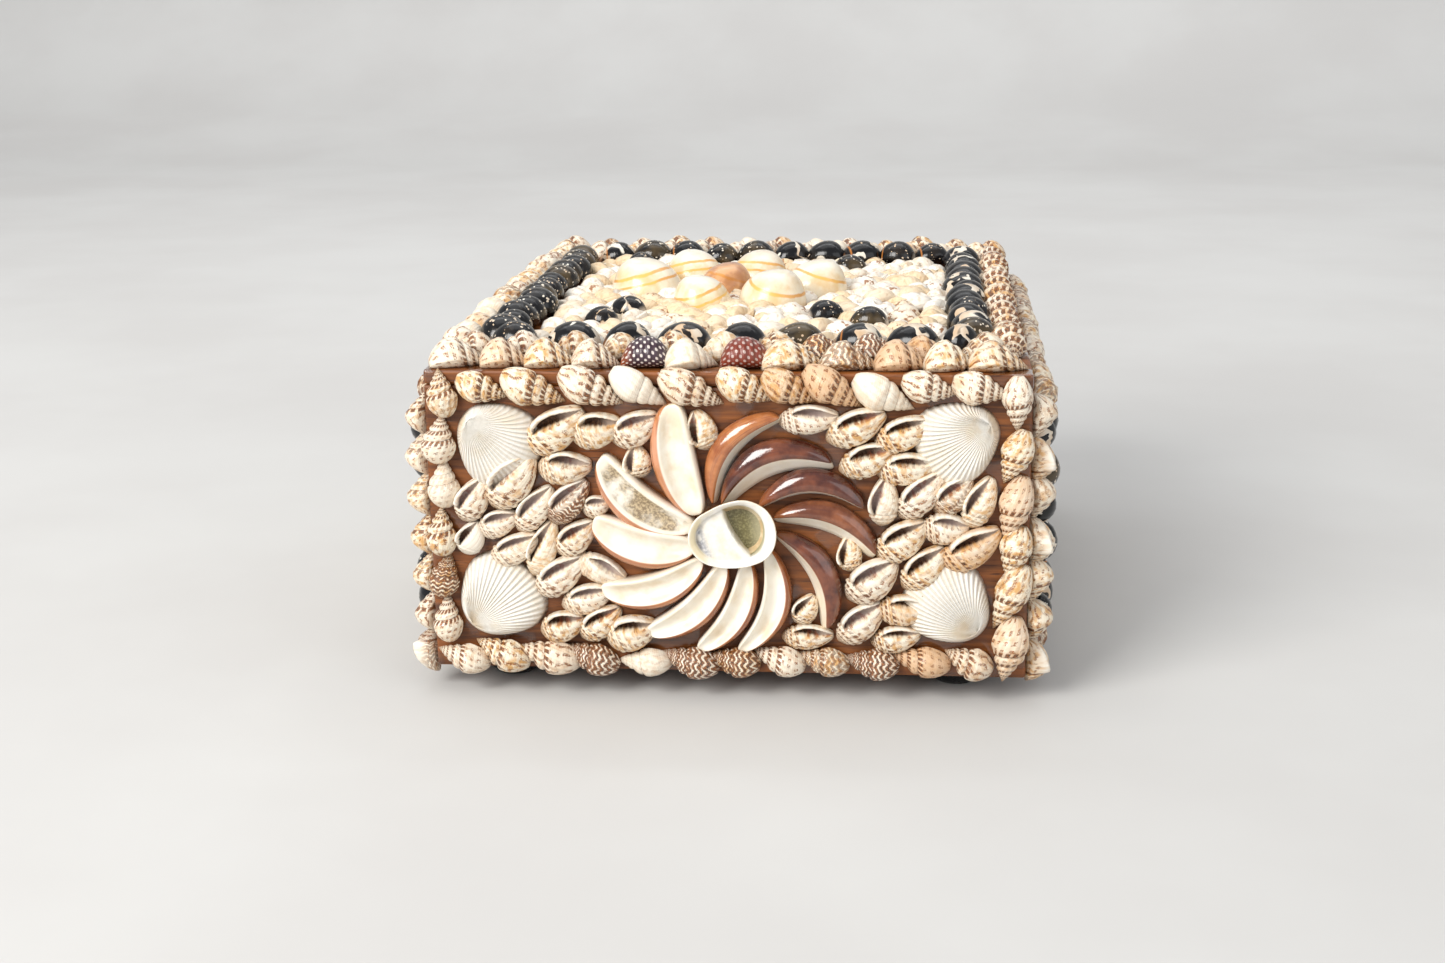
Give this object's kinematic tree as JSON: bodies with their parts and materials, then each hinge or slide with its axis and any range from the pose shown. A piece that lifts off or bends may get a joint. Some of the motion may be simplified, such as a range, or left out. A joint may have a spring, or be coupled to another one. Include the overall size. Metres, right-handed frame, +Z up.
{
  "type": "shell box",
  "caption": "Small wooden trinket box with a lift-off lid and four feet, its outer faces set with rows of sea shells and a pinwheel of cut cowries on the front.",
  "frame": {"origin": "centre of the footprint, at the soles of the feet", "axes": "+X to the right of the front face, +Y from the front face with the pinwheel to the back, +Z up"},
  "size_m": [0.1572, 0.1912, 0.0895],
  "materials": {
    "wood": "satin",
    "foot_black": "gloss",
    "whelk_shell": "satin",
    "nerite_shell": "gloss",
    "white_shell": "satin",
    "cowrie_shell": "gloss",
    "moon_shell": "gloss"
  },
  "bodies": {
    "root": {"back_board": "wood", "back_pinwheel": "cowrie_shell", "back_whelk_frame": "whelk_shell", "cockle_bottom_left": "white_shell", "cockle_bottom_right": "white_shell", "cockle_top_left": "white_shell", "cockle_top_right": "white_shell", "cowrie_slice_1": "cowrie_shell", "cowrie_slice_10": "cowrie_shell", "cowrie_slice_11": "cowrie_shell", "cowrie_slice_12": "cowrie_shell", "cowrie_slice_2": "cowrie_shell", "cowrie_slice_3": "cowrie_shell", "cowrie_slice_4": "cowrie_shell", "cowrie_slice_5": "cowrie_shell", "cowrie_slice_6": "cowrie_shell", "cowrie_slice_7": "cowrie_shell", "cowrie_slice_8": "cowrie_shell", "cowrie_slice_9": "cowrie_shell", "floor_board": "wood", "foot_back_left": "foot_black", "foot_back_right": "foot_black", "foot_front_left": "foot_black", "foot_front_right": "foot_black", "front_board": "wood", "front_field_left": "whelk_shell", "front_field_right": "whelk_shell", "front_row_bottom": "whelk_shell", "front_row_left": "whelk_shell", "front_row_right": "whelk_shell", "front_row_top": "whelk_shell", "hub_slipper_shell": "white_shell", "left_board": "wood", "left_moon_field": "moon_shell", "left_nerite_frame": "nerite_shell", "left_whelk_frame": "whelk_shell", "lid_board": "wood", "lid_border_back": "whelk_shell", "lid_border_front": "whelk_shell", "lid_border_left": "whelk_shell", "lid_border_right": "whelk_shell", "lid_moon_1": "moon_shell", "lid_moon_2": "moon_shell", "lid_moon_3": "moon_shell", "lid_moon_4": "moon_shell", "lid_moon_5": "moon_shell", "lid_moon_6": "moon_shell", "lid_moon_centre": "moon_shell", "lid_nerites_back": "nerite_shell", "lid_nerites_front": "nerite_shell", "lid_nerites_left": "nerite_shell", "lid_nerites_right": "nerite_shell", "lid_white_field": "white_shell", "right_board": "wood", "right_moon_field": "moon_shell", "right_nerite_frame": "nerite_shell", "right_whelk_frame": "whelk_shell"}
  },
  "joints": []
}
